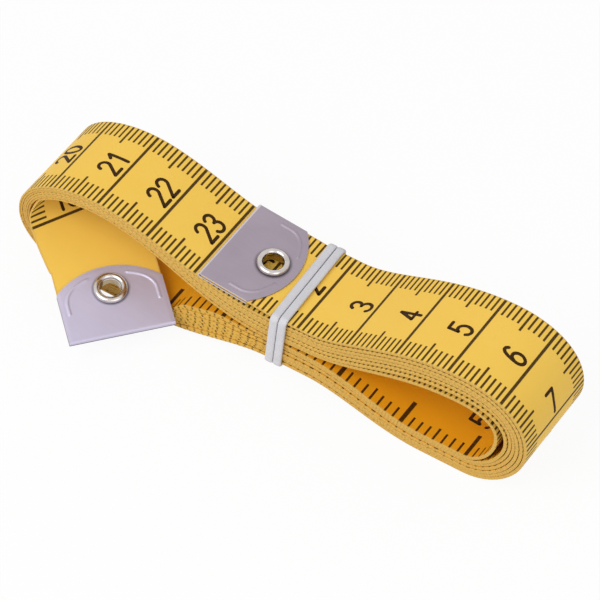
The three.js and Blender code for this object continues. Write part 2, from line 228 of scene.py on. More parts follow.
def tapeEdge():
    finish = Finish("tapeCutEdge")
    place, through, along = tapePlace(finish)
    threads = finish.noise(finish.stretched(place, (1.0, 2.6, 1.0)), 1.0, 4.0)
    slow = finish.noise(place, 0.08)
    every = tapePrint["threadEvery"]
    away = ((along / every + 0.5).part() - 0.5).size() * every
    yarnEnds = soft(tapePrint["threadHalf"] - away, 0.12)
    dots = yarnEnds * (threads * 3.0 - 1.1).clamped() * (slow * 2.0 - 0.4).clamped() * 0.9
    # where the lower layers lie loose, the ends of the printed lines show on their edges
    inSpace = finish.make("ShaderNodeTexCoord", {}, {}, out=3)
    aside = finish.make("ShaderNodeSeparateXYZ", {}, {0: inSpace}, out=0)
    above = finish.make("ShaderNodeSeparateXYZ", {}, {0: inSpace}, out=2)
    fromMiddle = (aside - tapePrint["looseMiddle"] * mm).size()
    loose = soft(tapePrint["looseReach"] * mm - fromMiddle, 0.004)
    loose = loose * soft(tapePrint["looseTop"] * mm - above, 0.002)
    specks = 0.0
    endRows = (("sixteenth", "inchEnds", tapePrint["inchZero"]), ("millimetre", "metricEnds", 0.0))
    for rule, ends, start in endRows:
        lineEvery = tapePrint[rule][0]
        row, depth = tapePrint[ends]
        beside = (((along - start) / lineEvery + 0.5).part() - 0.5) * lineEvery
        over = through - row
        specks = soft(0.045 - beside * beside - over * over * 0.6, 0.04) * depth + specks
    specks = specks * (threads * 4.0 - 0.9).clamped() * loose
    pale = (threads * 0.9 + slow * 0.5 - 0.25).clamped()
    colour = finish.colours(tapePrint["edge"], tapePrint["paleEdge"], pale)
    colour = finish.colours(colour, tapePrint["looseEdge"], loose * 0.7)
    colour = finish.colours(colour, tapePrint["edgeDot"], dots * (1 - loose))
    colour = finish.colours(colour, tapePrint["lineEnd"], specks)
    height = threads + yarnEnds * 0.5
    bump = finish.make("ShaderNodeBump", {}, {"Strength": 0.5, "Distance": 0.00006, "Height": height})
    return finish.surface(
        Base_Color=colour, Roughness=0.62 + threads * 0.15, Normal=bump, Specular_IOR_Level=0.25)


def printInk():
    finish = Finish("printInk")
    place = finish.make("ShaderNodeTexCoord", {}, {}, out=3)
    grain = finish.noise(place, 2600.0)
    colour = finish.colours(tapePrint["ink"], tapePrint["paleInk"], (grain * 1.4 - 0.3).clamped())
    return finish.surface(Base_Color=colour, Roughness=0.48 + grain * 0.12, Specular_IOR_Level=0.10)


metricFace = tapeFace(
    "tapeMetricFace", [tapePrint[k] for k in ("millimetre", "fives", "centimetre")], 0.0,
    tapePrint["yellow"], tapePrint["deepYellow"], tapePrint["metricShine"])
inchFace = tapeFace(
    "tapeInchFace", [tapePrint[k] for k in ("sixteenth", "quarter", "half")], tapePrint["inchZero"],
    tapePrint["inchYellowPaintedBounce"], tapePrint["inchDeepPaintedBounce"], tapePrint["inchShine"])
cutEdge = tapeEdge()
inkFinish = printInk()
print("tape finishes made")

# the wound tape: a waist between two swollen loops, side view from the waist's top left, clockwise
coil = {
    "width": 18.0, "thickness": 0.62, "endThickness": 0.42, "chamfer": 0.06, "turns": 6, "cadLeft": -55.0,
    "waist": (-4.2, 3.4, 4.4, 15.5), "start": -3.35,
    "rightCrown": (33.0, 23.5), "rightReach": (45.9, 12.5), "rightRest": (34.0, 26.0),
    "leftCrown": (-38.5, 22.0), "leftReach": (-54.5, 10.0), "leftRest": (-27.0, -42.0),
    # how far the outline's curves keep their first and last direction, as shares of each one's run
    "rightRise": (0.25, 0.45), "rightOver": (0.56, 0.63), "rightUnder": (0.45, 0.55),
    "rightBack": (0.4, 0.33), "leftBack": (0.28, 0.36), "leftUnder": (0.56, 0.5),
    "leftOver": (0.63, 0.53), "leftFall": (0.32, 0.4),
    "spacing": (0.76, 0.76, 0.87, 0.74, 0.66, 0.66, 0.76, 0.76, 0.64, 0.50, 0.37, 0.43),
    "layers": (0.62, 0.62, 0.62, 0.62, 0.62, 0.62, 0.62, 0.62, 0.58, 0.46, 0.34, 0.40),
    "dipLoosens": 0.35, "looseFrom": (-23.5, -19.0), "looseTo": (-14.0, -6.0),
    "looseSpacing": 0.34, "looseLayers": 0.42, "lastLoose": (0.0, 0.0, 0.65, 1.0, 0.15, 0.0, 0.0),
    "clipRoom": 0.5, "foldX": -17.65, "wander": 0.10,
    "curveSteps": 24, "lineSteps": 6, "tailSteps": 36, "bendSteps": 144,
    "atStart": 14.65, "leftShift": 3.6,
    "endLength": 14.0, "clipHalf": 0.52, "endClear": 0.1, "bendGap": 0.3, "eyelet": 8.9, "holeHalf": 2.05,
    "cadThickness": 0.30, "sinkFrom": 12.0, "endSteps": 30, "seamX": -1.9, "tailSeamSteps": 30,
    "outerBend": (0.9, 0.7), "innerBend": (1.6, 0.8),
    "leaveShare": 0.379, "leaveReach": 5.9, "lastReach": 1.04, "twistPower": 1.2, "tailYaw": -41.6,
    "shearShare": 0.7, "lineBeforeFold": 25.0, "bundleShift": 5.65,
    # lengths along the tape over which the print shifts and the layers sway, swayTo from its end
    "leftShiftOver": (90.0, 185.0), "stretchOver": (260.0, 1370.0),
    "bundleFrom": (1080.0, 1150.0), "bundleTo": (1240.0, 1320.0),
    "swayFrom": (232.0, 300.0), "swayTo": (130.0, 90.0), "swayWaves": (47.0, 19.0),
    "swayShort": (0.7, 1.0), "sharp": 28.0,
}

coilLow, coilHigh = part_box("tape_coil")
origin = Vector((coilLow.x / mm - coil["cadLeft"], coilHigh.y / mm - coil["width"] / 2, 0.0))


def placed(point):
    return (point + origin) * mm


def outlineCurves():
    left, right, under, top = coil["waist"]

    def at(x, z):
        return Vector((x, z))

    def line(a, b):
        return [a, mixed(a, b, 1 / 3), mixed(a, b, 2 / 3), b]

    def rise(a, b, leave, arrive):
        run = b.x - a.x
        return [a, at(a.x + leave * run, a.y), at(b.x - arrive * run, b.y), b]

    def roundDown(a, b, along, across):
        return [a, at(a.x + along * (b.x - a.x), a.y), at(b.x, b.y - across * (b.y - a.y)), b]

    def roundIn(a, b, across, along):
        return [a, at(a.x, a.y + across * (b.y - a.y)), at(b.x - along * (b.x - a.x), b.y), b]

    topLeft, topRight = at(left, top), at(right, top)
    underRight, underLeft = at(right, under), at(left, under)
    crownRight, endRight = at(*coil["rightCrown"]), at(*coil["rightReach"])
    crownLeft, endLeft = at(*coil["leftCrown"]), at(*coil["leftReach"])
    farRight, nearRight = (at(x, 0.0) for x in coil["rightRest"])
    nearLeft, farLeft = (at(x, 0.0) for x in coil["leftRest"])
    return [
        line(topLeft, topRight), rise(topRight, crownRight, *coil["rightRise"]),
        roundDown(crownRight, endRight, *coil["rightOver"]),
        roundIn(endRight, farRight, *coil["rightUnder"]),
        line(farRight, nearRight), rise(nearRight, underRight, *coil["rightBack"]),
        line(underRight, underLeft), rise(underLeft, nearLeft, *coil["leftBack"]),
        line(nearLeft, farLeft), roundDown(farLeft, endLeft, *coil["leftUnder"]),
        roundIn(endLeft, crownLeft, *coil["leftOver"]), rise(crownLeft, topLeft, *coil["leftFall"]),
    ]


outline = outlineCurves()
waistCurve, lastOnRight, bundleCurve, leftCurve, dipCurve = 0, 5, 7, 10, 11
straightCurves = (0, 4, 6, 8)


def onTurn(turn, curve, share):
    point, run = curvePoint(outline[curve], share), curveRun(outline[curve], share)
    following = (curve + 1) % len(outline)
    grown = ease(share, coil["dipLoosens"] if curve == dipCurve else 0.0, 1.0)
    apart = mixed(coil["spacing"][curve], coil["spacing"][following], grown)
    thick = mixed(coil["layers"][curve], coil["layers"][following], grown)
    if curve == bundleCurve:  # the lower layers left of the band lie loose
        loose = ease(point.x, *coil["looseFrom"]) * (1 - ease(point.x, *coil["looseTo"]))
        apart += coil["looseSpacing"] * loose
        thick += coil["looseLayers"] * loose
    slip = ease(point.x, coil["leftCrown"][0], coil["foldX"]) if curve == dipCurve else 0.0
    room = coil["clipRoom"] * slip
    if curve == waistCurve and turn > 0:
        room = coil["clipRoom"] * (1 - ease(share))
    if turn == 0 and curve <= 1:  # the end that goes into the clip is pressed thinner
        thick = coil["endThickness"] if curve == 0 else mixed(coil["endThickness"], thick, ease(share))
    depth = (turn + slip) * apart + room + thick / 2
    if turn == coil["turns"] and curve <= lastOnRight:  # the last turn comes away inside the right loop
        depth += mixed(coil["lastLoose"][curve], coil["lastLoose"][curve + 1], ease(share))
    return Vector((point.x + run.y * depth, 0.0, point.y - run.x * depth)), thick


def levelAcross(run, yaw):
    level = Vector((-math.sin(yaw), math.cos(yaw), 0.0))
    return level / math.sqrt(1 - level.dot(run) ** 2)


# one end of the tape, read from its flat strip: the fold's middle, then along, across and up
def endAxes(nodeName, jointName):
    mesh = frame["nodes"][nodeName].data
    up = max(mesh.polygons, key=lambda face: face.area).normal.copy()
    up = up if up.z > 0 else -up
    across = Vector(joints[jointName]["axis"]).normalized()
    along = across.cross(up).normalized()
    up = along.cross(across)
    points = [vertex.co / mm for vertex in mesh.vertices]
    reach = max(point.dot(along) for point in points)
    levels = [point.dot(up) for point in points]
    sides = [point.dot(across) for point in points]
    fold = along * (reach - coil["endLength"]) + up * ((min(levels) + max(levels)) / 2)
    fold = fold + across * ((min(sides) + max(sides)) / 2)
    return fold - origin, along, across, up


outerAxes = endAxes("tape_outer_end", "outer_end_lift")
innerAxes = endAxes("tape_inner_end", "inner_end_lift")


def layRoute():
    laid = []

    def lay(middle, thick=coil["thickness"], across=Vector((0.0, 1.0, 0.0))):
        laid.append({"middle": middle, "thick": thick, "across": across})

    # outer end, fold to bend
    fold, along, across, up = outerAxes
    lower = (coil["endThickness"] - coil["cadThickness"]) / 2
    clear, endSteps = coil["endClear"], coil["endSteps"]
    for step in range(endSteps + 1):
        reach = mixed(coil["clipHalf"] + clear, coil["endLength"] - clear, step / endSteps)
        sunk = up * (lower * ease(reach, coil["sinkFrom"], coil["endLength"]))
        lay(fold + along * reach - sunk, coil["endThickness"])
    marks = {"coilStart": len(laid)}
    startShare = (coil["start"] - coil["waist"][0]) / (coil["waist"][1] - coil["waist"][0])
    for turn in range(coil["turns"] + 1):
        curves = len(outline) if turn < coil["turns"] else lastOnRight + 1
        for curve in range(curves):
            steps = coil["lineSteps"] if curve in straightCurves else coil["curveSteps"]
            first = 0.0
            if turn == 0 and curve == 0:
                steps, first = coil["curveSteps"], startShare
            for step in range(steps):
                lay(*onTurn(turn, curve, mixed(first, 1.0, step / steps)))
        if turn == 0:
            marks["turnOne"] = len(laid)
    # through the middle of the waist, then back under the upper stack to the left crown
    enter, leave = onTurn(coil["turns"], lastOnRight, 1.0)[0], onTurn(coil["turns"], dipCurve, 1.0)[0]
    half = Vector(((enter.x - leave.x) / 2, 0.0, 0.0))
    passage = [enter, enter - half, leave + half, leave]
    for step in range(coil["lineSteps"]):
        lay(curvePoint(passage, step / coil["lineSteps"]))
    for step in range(coil["curveSteps"], 0, -1):
        lay(*onTurn(coil["turns"], dipCurve, step / coil["curveSteps"]))
    # round the left end inside the stack, then away from it towards the viewer
    tailSteps, leaving = coil["tailSteps"], coil["leaveShare"]
    for step in range(tailSteps):
        lay(*onTurn(coil["turns"], leftCurve, mixed(1.0, leaving, step / tailSteps)))
    innerFold, innerAlong = innerAxes[:2]
    tailRun, tailYaw = -innerAlong, math.radians(coil["tailYaw"])
    hinge = innerFold + innerAlong * coil["endLength"]
    apex, apexThick = onTurn(coil["turns"], leftCurve, leaving)
    back = curveRun(outline[leftCurve], leaving)
    bend = [
        apex, apex - Vector((back.x, 0.0, back.y)) * coil["leaveReach"],
        hinge - tailRun * coil["lastReach"], hinge - tailRun * coil["bendGap"],
    ]
    for step in range(coil["bendSteps"]):
        share = step / coil["bendSteps"]
        yaw = tailYaw * ease(share ** coil["twistPower"])
        thick = mixed(apexThick, coil["endThickness"], ease(share))
        lay(curvePoint(bend, share), thick, levelAcross(curveRun(bend, share), yaw))
    marks["innerBend"] = len(laid)
    for step in range(endSteps + 1):
        reach = mixed(-coil["bendGap"], coil["endLength"] - coil["clipHalf"] - clear, step / endSteps)
        lay(hinge + tailRun * reach, coil["endThickness"], levelAcross(tailRun, tailYaw))
    return laid, marks


# lengths along the tape, the marks printed there, and the layers' small sideways drift
def measureRoute(laid, marks):
    length = 0.0
    for before, after in zip([laid[0]] + laid, laid):
        length += (after["middle"] - before["middle"]).length
        after["length"] = length
    shift = coil["atStart"] - laid[marks["coilStart"]]["length"]
    whole = laid[-1]["length"] + shift + coil["clipHalf"] + coil["endClear"]
    stretch = tapePrint["last"] - coil["leftShift"] - (whole - coil["lineBeforeFold"])
    lines = [station["middle"] for station in laid]
    for index, station in enumerate(laid):
        run = lines[min(index + 1, len(lines) - 1)] - lines[max(index - 1, 0)]
        station["up"] = run.cross(station["across"]).normalized()
        # how far a printed line, which stays nearly square to the tape, leaves the level one
        station["shear"] = station["across"].dot(run.normalized()) * coil["shearShare"]
        along = station["length"] + shift
        station["mark"] = along + coil["leftShift"] * ease(along, *coil["leftShiftOver"])
        station["mark"] += stretch * ease(along, *coil["stretchOver"])
        onBundle = ease(along, *coil["bundleFrom"]) * (1 - ease(along, *coil["bundleTo"]))
        station["mark"] += coil["bundleShift"] * onBundle
        swayEnd = [whole - before for before in coil["swayTo"]]
        drift = coil["wander"] * ease(along, *coil["swayFrom"]) * (1 - ease(along, *swayEnd))
        longWave, shortWave = coil["swayWaves"]
        shortShare, phase = coil["swayShort"]
        sway = math.sin(along / longWave) + shortShare * math.sin(along / shortWave + phase)
        station["middle"] = station["middle"] + station["across"] * (drift * sway)
    print("tape laid: %.0f mm long, print spread by %.0f mm" % (whole, stretch + coil["leftShift"]))


route, marks = layRoute()
measureRoute(route, marks)
marksAlong = [station["mark"] for station in route]


# a point on the tape by its printed mark, its place across and its height over a face
def onTape(mark, across, side, height):
    level = mark
    for attempt in range(4):
        index = min(max(bisect.bisect_right(marksAlong, level), 1), len(route) - 1)
        before, after = route[index - 1], route[index]
        share = (level - before["mark"]) / (after["mark"] - before["mark"])
        level = mark - across * mixed(before["shear"], after["shear"], share)
    middle = mixed(before["middle"], after["middle"], share)
    wide = mixed(before["across"], after["across"], share)
    up = mixed(before["up"], after["up"], share).normalized()
    thick = mixed(before["thick"], after["thick"], share)
    return placed(middle + wide * across + up * (side * (thick / 2 + height)))


def newPiece(name, shape, finishes, sharp=None):
    mesh = bpy.data.meshes.new(name)
    shape.to_mesh(mesh)
    shape.free()
    if sharp:
        mesh.set_sharp_from_angle(angle=math.radians(sharp))
    for finish in finishes:
        mesh.materials.append(finish)
    piece = bpy.data.objects.new(name, mesh)
    bpy.context.scene.collection.objects.link(piece)
    return piece


# a closed strip along part of the route: metric face, inch face, cut edges
def tapeStrip(name, first, last):
    half, cut = coil["width"] / 2, coil["chamfer"]
    section = [  # place across, side, and how far the corner is cut down from the face
        (cut - half, 1, 0.0), (half - cut, 1, 0.0), (half, 1, cut), (half, -1, cut),
        (half - cut, -1, 0.0), (cut - half, -1, 0.0), (-half, -1, cut), (-half, 1, cut),
    ]
    finishOf = [0, 0, 2, 1, 1, 1, 2, 0]  # the print runs over the softened corners
    shape = bmesh.new()
    scale = shape.loops.layers.uv.new("tapeScale")
    rings = []
    for station in route[first:last + 1]:
        ring = []
        for across, side, down in section:
            height = side * (station["thick"] / 2 - down)
            point = station["middle"] + station["across"] * across + station["up"] * height
            ring.append(shape.verts.new(placed(point)))
        rings.append((ring, station))

    def face(corners, finish):
        made = shape.faces.new([vertex for vertex, uv in corners])
        made.material_index = finish
        made.smooth = True
        for loop, (vertex, uv) in zip(made.loops, corners):
            loop[scale].uv = uv

    def corner(entry, side, finish):
        ring, station = entry
        across, upper, down = section[side]
        wide = (1 - upper) / 2 if finish == 2 else across + half
        return ring[side], (wide, station["mark"] + across * station["shear"])

    count = len(section)
    for entry, following in zip(rings, rings[1:]):
        for side in range(count):
            other = (side + 1) % count
            quad = ((entry, side), (following, side), (following, other), (entry, other))
            face([corner(*spot, finishOf[side]) for spot in quad], finishOf[side])
    for entry, turn in ((rings[0], 1), (rings[-1], -1)):
        face([corner(entry, side, 2) for side in range(count)][::turn], 2)
    piece = newPiece(name, shape, [metricFace, inchFace, cutEdge], coil["sharp"])
    length = (rings[-1][1]["mark"] - rings[0][1]["mark"]) * mm
    return piece, length


pastSeam = [index for index, station in enumerate(route) if station["middle"].x > coil["seamX"]]
seam = next(index for index in pastSeam if index >= marks["coilStart"])
tailSeam = marks["innerBend"] - coil["tailSeamSteps"]
outerStrip, outerStripLength = tapeStrip("outer_end_strip", 0, seam)
outerTurn, outerTurnLength = tapeStrip("outer_turn", seam, marks["turnOne"])
innerTurns, innerTurnsLength = tapeStrip("inner_turns", marks["turnOne"], tailSeam)
innerStrip, innerStripLength = tapeStrip("inner_end_strip", tailSeam, len(route) - 1)


# the eyelet's hole, cut square through the strip; the clip's leaves hide its corners
def punchHole(piece, axes):
    fold, along, across, up = axes
    half = coil["holeHalf"] * mm
    middle = placed(fold + along * coil["eyelet"])
    shape = bmesh.new()
    shape.from_mesh(piece.data)

    def away(face):
        offset = face.calc_center_median() - middle
        return abs(offset.dot(along)), abs(offset.dot(across))

    for axis in (along, across):
        for side in (-half, half):
            near = [face for face in shape.faces if away(face)[0] < 2 * half]
            lines = {edge for face in near for edge in face.edges}
            points = {vertex for face in near for vertex in face.verts}
            parts = near + list(lines) + list(points)
            bmesh.ops.bisect_plane(shape, geom=parts, plane_co=middle + axis * side, plane_no=axis)
    inside = [face for face in shape.faces if max(away(face)) < half]
    bmesh.ops.delete(shape, geom=inside, context="FACES")
    walls = bmesh.ops.bridge_loops(shape, edges=[edge for edge in shape.edges if edge.is_boundary])
    for wall in walls["faces"]:
        wall.material_index = 2
    shape.to_mesh(piece.data)
    shape.free()


punchHole(outerStrip, outerAxes)
punchHole(innerStrip, innerAxes)


# where a strip starts and stops turning, on either side of its hinge
def bendAt(jointName, along, reaches):
    hinge = Vector(joints[jointName]["pos_m"])
    before, after = reaches
    return hinge + along * (before * mm), hinge - along * (after * mm)


outerBend = bendAt("outer_end_lift", Vector((1.0, 0.0, 0.0)), coil["outerBend"])
innerBend = bendAt("inner_end_lift", innerAxes[1], coil["innerBend"])
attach(outerTurn, "coil")
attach(innerTurns, "coil")
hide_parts("tape_coil")
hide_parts("tape_outer_end")
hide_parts("tape_inner_end")
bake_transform(outerStrip)
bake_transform(innerStrip)
print("tape strips made")

# printed numbers: tops towards the smaller ones on the metric face, the larger on the inch face
numbers = {
    "wide": 1.78, "tall": 3.92, "stroke": 0.60, "apart": 2.55, "beforeLine": 0.77,
    "step": 0.3, "inkDepth": 0.024, "lift": 0.003, "tailLift": 0.04, "inchNearer": 1.6,
    "bowSteps": 6, "bowTurn": 15.0, "capSides": 14, "closedWithin": 0.01,
    "bend": range(2, 3), "outer": range(3, 25), "tail": range(141, 151), "inches": range(46, 59),
}


# a bow of an ellipse, in the digit's own width and height from 0 to 1
def bow(x, y, wide, tall, start, end):
    count = max(numbers["bowSteps"], int(abs(end - start) / numbers["bowTurn"]))
    turns = [math.radians(mixed(start, end, step / count)) for step in range(count + 1)]
    return [(x + wide * math.cos(turn), y + tall * math.sin(turn)) for turn in turns]


sixStem = [(0.90, 0.90), (0.74, 0.985), (0.50, 1.0), (0.26, 0.90), (0.09, 0.70), (0.01, 0.46), (0.0, 0.30)]
sixLoop = bow(0.5, 0.30, 0.5, 0.30, 0, 360)
digitStrokes = {
    "0": [bow(0.5, 0.5, 0.5, 0.5, 0, 360)],
    "1": [[(0.22, 0.78), (0.64, 1.0)], [(0.64, 1.0), (0.64, 0.0)]],
    "2": [bow(0.5, 0.73, 0.49, 0.27, 168, -28) + [(0.0, 0.0)], [(0.0, 0.0), (1.0, 0.0)]],
    "3": [bow(0.47, 0.76, 0.46, 0.24, 158, -80), bow(0.48, 0.265, 0.52, 0.265, 85, -158)],
    "4": [[(0.70, 0.0), (0.70, 1.0)], [(0.70, 1.0), (0.0, 0.28)], [(0.0, 0.28), (1.0, 0.28)]],
    "5": [[(0.92, 1.0), (0.14, 1.0)], [(0.14, 1.0), (0.07, 0.58)], bow(0.48, 0.32, 0.52, 0.32, 142, -152)],
    "6": [sixStem, sixLoop],
    "7": [[(0.0, 1.0), (1.0, 1.0)], [(1.0, 1.0), (0.62, 0.52), (0.42, 0.0)]],
    "8": [bow(0.5, 0.76, 0.44, 0.24, 0, 360), bow(0.5, 0.26, 0.5, 0.26, 0, 360)],
    "9": [[(1 - x, 1 - y) for x, y in sixStem], [(1 - x, 1 - y) for x, y in sixLoop]],
}


# the line with points no further apart than the step
def evenly(line, step):
    points = [line[0]]
    for a, b in zip(line, line[1:]):
        count = max(1, math.ceil((b - a).length / step))
        points += [mixed(a, b, part / count) for part in range(1, count + 1)]
    return points


# one digit as flat rounded strokes, its foot at y = 0
def digitShape(digit, left):
    half = numbers["stroke"] / 2
    curve = bpy.data.curves.new("digit", "CURVE")
    curve.dimensions = "3D"
    curve.bevel_depth = half
    curve.bevel_resolution = 1
    curve.use_fill_caps = True
    shape = bmesh.new()
    for stroke in digitStrokes[digit]:
        wide, tall = numbers["wide"], numbers["tall"]
        corners = [Vector((left + x * wide, half + y * tall, 0.0)) for x, y in stroke]
        closed = (corners[0] - corners[-1]).length < numbers["closedWithin"]
        points = evenly(corners, numbers["step"])
        points = points[:-1] if closed else points
        spline = curve.splines.new("POLY")
        spline.points.add(len(points) - 1)
        for slot, point in zip(spline.points, points):
            slot.co = (*point, 1.0)
        spline.use_cyclic_u = closed
        for end in () if closed else (points[0], points[-1]):
            bmesh.ops.create_cone(
                shape, cap_ends=True, segments=numbers["capSides"], radius1=half, radius2=half,
                depth=2 * half, matrix=Matrix.Translation(end))
    holder = bpy.data.objects.new("digit", curve)
    mesh = bpy.data.meshes.new_from_object(holder)
    shape.from_mesh(mesh)
    bpy.data.objects.remove(holder)
    bpy.data.meshes.remove(mesh)
    bmesh.ops.scale(shape, verts=shape.verts, vec=(1.0, 1.0, numbers["inkDepth"] / numbers["stroke"]))
    return shape


def numbersPiece(name, entries, gap=numbers["lift"]):
    whole = bmesh.new()
    lift = numbers["inkDepth"] / 2 + gap
    for digit, place, line, side in entries:
        shape = digitShape(digit, place - numbers["wide"] / 2)
        for vertex in shape.verts:
            mark = line - side * (numbers["beforeLine"] + vertex.co.y)
            vertex.co = onTape(mark, vertex.co.x, side, lift + vertex.co.z)
        if side < 0:
            bmesh.ops.reverse_faces(shape, faces=shape.faces)
        mesh = bpy.data.meshes.new("number")
        shape.to_mesh(mesh)
        shape.free()
        whole.from_mesh(mesh)
        bpy.data.meshes.remove(mesh)
    return newPiece(name, whole, [inkFinish])


# each digit of a number: its place across, its line and the face it is on
def digitsOf(number, line, side):
    text = str(number)
    start = -numbers["apart"] * (len(text) - 1) / 2
    return [(digit, start + numbers["apart"] * index, line, side) for index, digit in enumerate(text)]


def printed(values, lineOf, side):
    return [entry for value in values for entry in digitsOf(value, lineOf(value), side)]


def centimetreLine(number):
    return number * 10.0


def inchLine(number):
    return tapePrint["inchZero"] + number * 25.4 - numbers["inchNearer"]


tailPrint = printed(numbers["tail"], centimetreLine, 1)
outerNumbers = numbersPiece("outer_numbers", printed(numbers["outer"], centimetreLine, 1))
tailNumbers = numbersPiece("tail_numbers", tailPrint, numbers["tailLift"])
inchNumbers = numbersPiece("inch_numbers", printed(numbers["inches"], inchLine, -1))
bendNumber = numbersPiece("bend_number", printed(numbers["bend"], centimetreLine, 1))
for piece in (outerNumbers, tailNumbers, inchNumbers):
    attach(piece, "coil")
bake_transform(bendNumber)
print("numbers printed")

# folded end clips: an arched leaf above and below, with a raised rib towards either side
clip = {
    "width": 18.2, "side": 9.7, "arch": 13.4, "half": 0.52, "sheet": 0.24,
    "eyelet": coil["eyelet"], "hole": 2.25, "seatShadowReach": 3.12, "seatPaintedShadow": rgb(0.09, 0.08, 0.09),
    "columns": 110, "rows": 200, "leafShare": 0.455, "lip": 0.07, "lipWide": 0.7,
    "foldSkin": 0.01, "sideSkin": 0.02, "sharp": 50.0,
    "ribInset": 1.35, "ribFlat": 0.1, "ribHalf": 0.32, "ribHeight": 0.18,
    "ribFrom": 3.5, "ribTurn": 5.9, "ribLeg": 3.6, "ribSteps": 12, "ribCornerSteps": 8,
    # both clips are one metal: the outer clip's darker colours and the inner clip's paler, bluer ones are
    # painted shaded and lit copies of it
    "outerLight": rgb(0.405, 0.345, 0.405), "outerDark": rgb(0.315, 0.262, 0.315),
    # fold colours are painted shading: a pale painted highlight on the outer clip's fold and cut sides, a
    # dark painted shade on the inner clip's
    "outerFold": rgb(0.62, 0.56, 0.58), "outerFoldTop": 1.0, "outerMetal": 0.55,
    "innerLight": rgb(0.595, 0.55, 0.70), "innerDark": rgb(0.49, 0.45, 0.585),
    "innerFold": rgb(0.15, 0.14, 0.17), "innerFoldTop": 0.13, "innerMetal": 0.3,
}
clipRise = clip["arch"] - clip["side"]
clipRadius = ((clip["width"] / 2) ** 2 + clipRise**2) / (2 * clipRise)
clipCentre = clip["arch"] - clipRadius


def ribLine():
    radius = clipRadius - clip["ribInset"]
    legSide = clip["width"] / 2 - clip["ribInset"]
    steps, cornerSteps = clip["ribSteps"], clip["ribCornerSteps"]

    def arched(y):
        return Vector((clipCentre + math.sqrt(radius**2 - y**2), y))

    line = [arched(mixed(clip["ribFrom"], clip["ribTurn"], step / steps)) for step in range(steps + 1)]
    corner, legEnd = arched(legSide), arched(legSide) - Vector((clip["ribLeg"], 0.0))
    halfway = mixed(corner, legEnd, 0.5)
    for step in range(1, cornerSteps + 1):  # a rounded corner from the arch into the side leg
        share = step / cornerSteps
        onArch = mixed(arched(clip["ribTurn"]), corner, share)
        line.append(mixed(onArch, mixed(corner, halfway, share), share))
    return line + [legEnd]


def lineDistance(line, x, y):
    point = Vector((x, y))
    nearest = 100.0
    for a, b in zip(line, line[1:]):
        run = b - a
        share = min(1.0, max(0.0, (point - a).dot(run) / run.length_squared))
        nearest = min(nearest, (point - a - run * share).length)
    return nearest


# satin sheet, with a painted shadow round the eyelet's seat
def clipMetal(name, light, dark, metal, seat):
    finish = Finish(name)
    place = finish.make("ShaderNodeTexCoord", {}, {}, out=3)
    brushed = finish.noise(finish.stretched(place, (260.0, 2600.0, 900.0)), 1.0, 4.0)
    clouds = finish.noise(place, 130.0, 3.0)
    colour = finish.colours(dark, light, (brushed * 0.35 + clouds * 0.9 - 0.1).clamped())
    # painted shadow: a dark ring on the sheet round the eyelet's seat
    fromSeat = finish.make("ShaderNodeVectorMath", {"operation": "DISTANCE"}, {0: place, 1: seat}, out=1)
    shade = soft(clip["seatShadowReach"] * mm - fromSeat, 0.0005) * 0.8
    colour = finish.colours(colour, clip["seatPaintedShadow"], shade)
    height = brushed + clouds
    bump = finish.make("ShaderNodeBump", {}, {"Strength": 0.10, "Distance": 0.00002, "Height": height})
    return finish.surface(
        Base_Color=colour, Metallic=metal, Roughness=0.36 + brushed * 0.10 + clouds * 0.06, Normal=bump)


# the sheet's finish and the fold's, whose colour is painted shading
def clipFinishes(which, axes):
    light, dark, fold = clip[which + "Light"], clip[which + "Dark"], clip[which + "Fold"]
    seat = placed(axes[0] + axes[1] * clip["eyelet"])
    sheet = clipMetal(which + "ClipMetal", light, dark, clip[which + "Metal"], seat)
    return [sheet, clipMetal(which + "ClipFoldPaintedShading", fold, fold, clip[which + "Metal"], seat)]


# turns a finished shape into an end's axes at a reach from its fold, and shades it smooth
def setOnEnd(shape, axes, reach):
    fold, along, across, up = axes
    turned = Matrix((along, across, up)).transposed().to_4x4()
    bmesh.ops.transform(shape, matrix=turned, verts=shape.verts)
    for vertex in shape.verts:
        vertex.co = placed(vertex.co + fold + along * reach)
    for face in shape.faces:
        face.smooth = True


